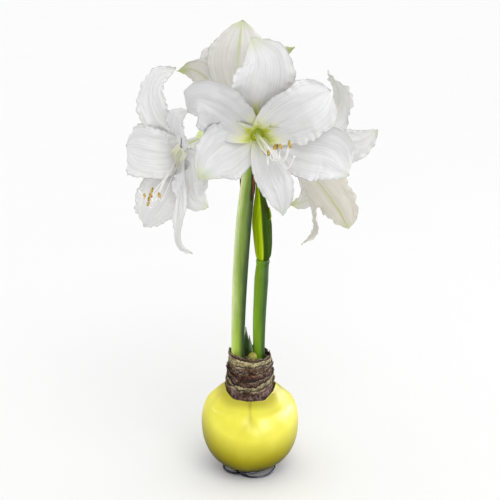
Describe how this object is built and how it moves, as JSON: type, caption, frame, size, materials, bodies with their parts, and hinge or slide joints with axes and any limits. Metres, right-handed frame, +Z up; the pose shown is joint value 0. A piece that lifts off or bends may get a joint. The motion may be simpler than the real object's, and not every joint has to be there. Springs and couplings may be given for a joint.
{
  "type": "waxed amaryllis bulb in flower",
  "caption": "Waxed amaryllis bulb on a bent wire stand, with a tall flower stalk of white open flowers, a closed bud on a second stalk and short leaves.",
  "frame": {"origin": "centre of the whole plant's footprint box, on the surface that the wire stand rests on", "axes": "+Z up along the plant, -Y toward the viewer of the picture, +X to the viewer's right"},
  "size_m": [0.2318, 0.2074, 0.4345],
  "materials": {
    "wire_stand": "satin",
    "wax_coat": "gloss",
    "bulb": "matte",
    "flower_stalk": "satin",
    "bud_stalk": "satin",
    "bud_sheath": "satin",
    "leaf": "satin",
    "withered_bract": "matte",
    "bloom": "satin",
    "stamens": "matte"
  },
  "bodies": {
    "root": {"wire_stand": "wire_stand", "wax_coat": "wax_coat", "bulb": "bulb", "flower_stalk": "flower_stalk", "bud_stalk": "bud_stalk", "bud_sheath": "bud_sheath", "leaf_left": "leaf", "leaf_right": "leaf", "withered_bract_front": "withered_bract", "withered_bract_back": "withered_bract", "bloom_front": "bloom", "stamens_front": "stamens", "bloom_left": "bloom", "stamens_left": "stamens", "bloom_back": "bloom", "stamens_back": "stamens", "bloom_right": "bloom", "stamens_right": "stamens"}
  },
  "joints": []
}
